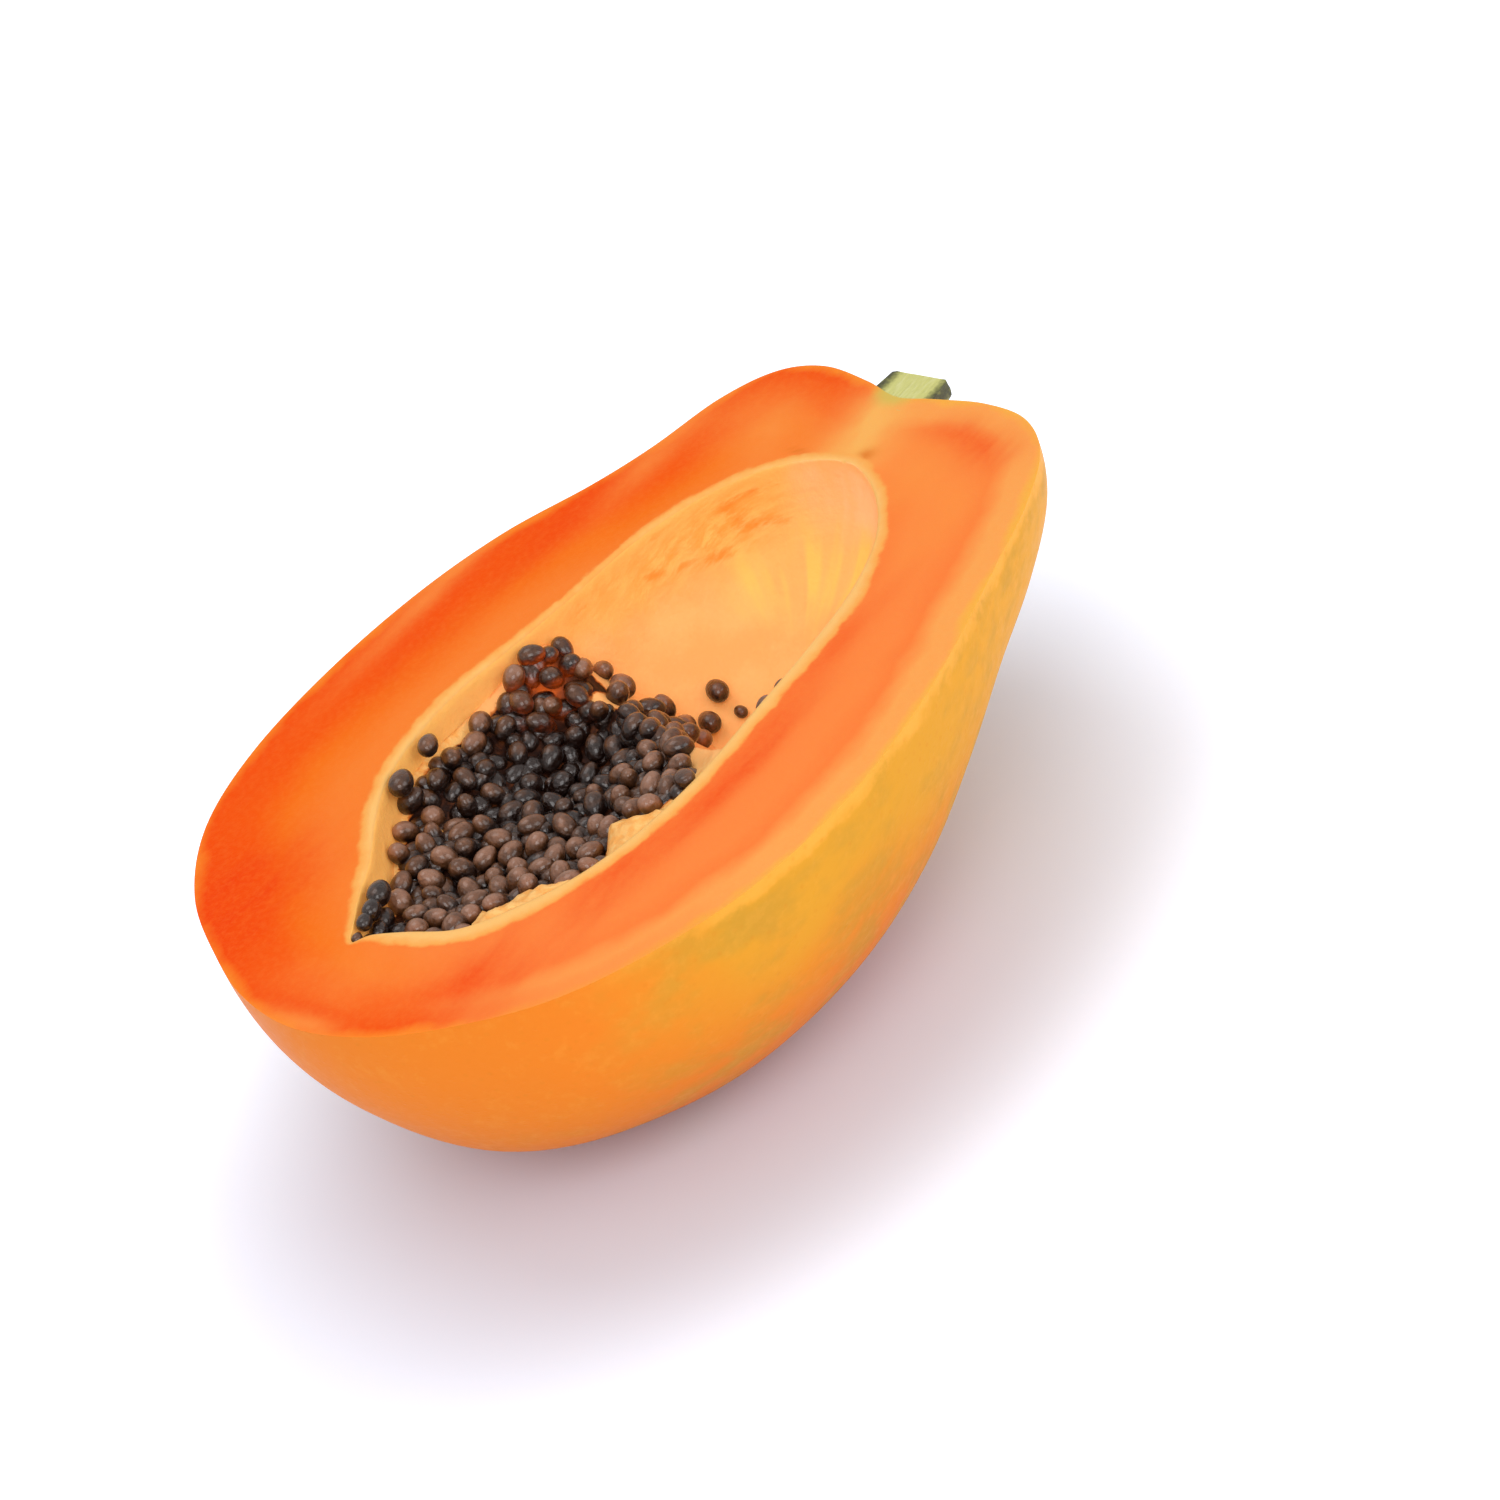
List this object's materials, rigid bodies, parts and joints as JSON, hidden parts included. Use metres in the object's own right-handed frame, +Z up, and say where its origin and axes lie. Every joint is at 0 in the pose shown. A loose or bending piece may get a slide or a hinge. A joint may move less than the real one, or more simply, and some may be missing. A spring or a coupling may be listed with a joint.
{
  "type": "papaya half",
  "caption": "Ripe papaya cut lengthwise, cut face up: thick orange flesh, seed cavity part filled with dark seeds, stem stub.",
  "frame": {"origin": "middle of the small flat spot underneath, on which the half rests, below its centre of mass", "axes": "+Z up, square to the cut face; +X along the fruit from the blossom end to the stem; +Y across it"},
  "size_m": [0.1975, 0.1366, 0.0709],
  "materials": {
    "papaya_flesh": "moist ripe flesh on the cut, waxy yellow-orange skin outside, pale lining in the cavity",
    "papaya_seeds": "wet dark brown seeds in thin clear coats",
    "stem_wood": "dull green-yellow cut stem with a grey rind"
  },
  "bodies": {
    "root": {"papaya_half": "papaya_flesh", "seed_heap": "papaya_seeds", "stem": "stem_wood"}
  },
  "joints": []
}
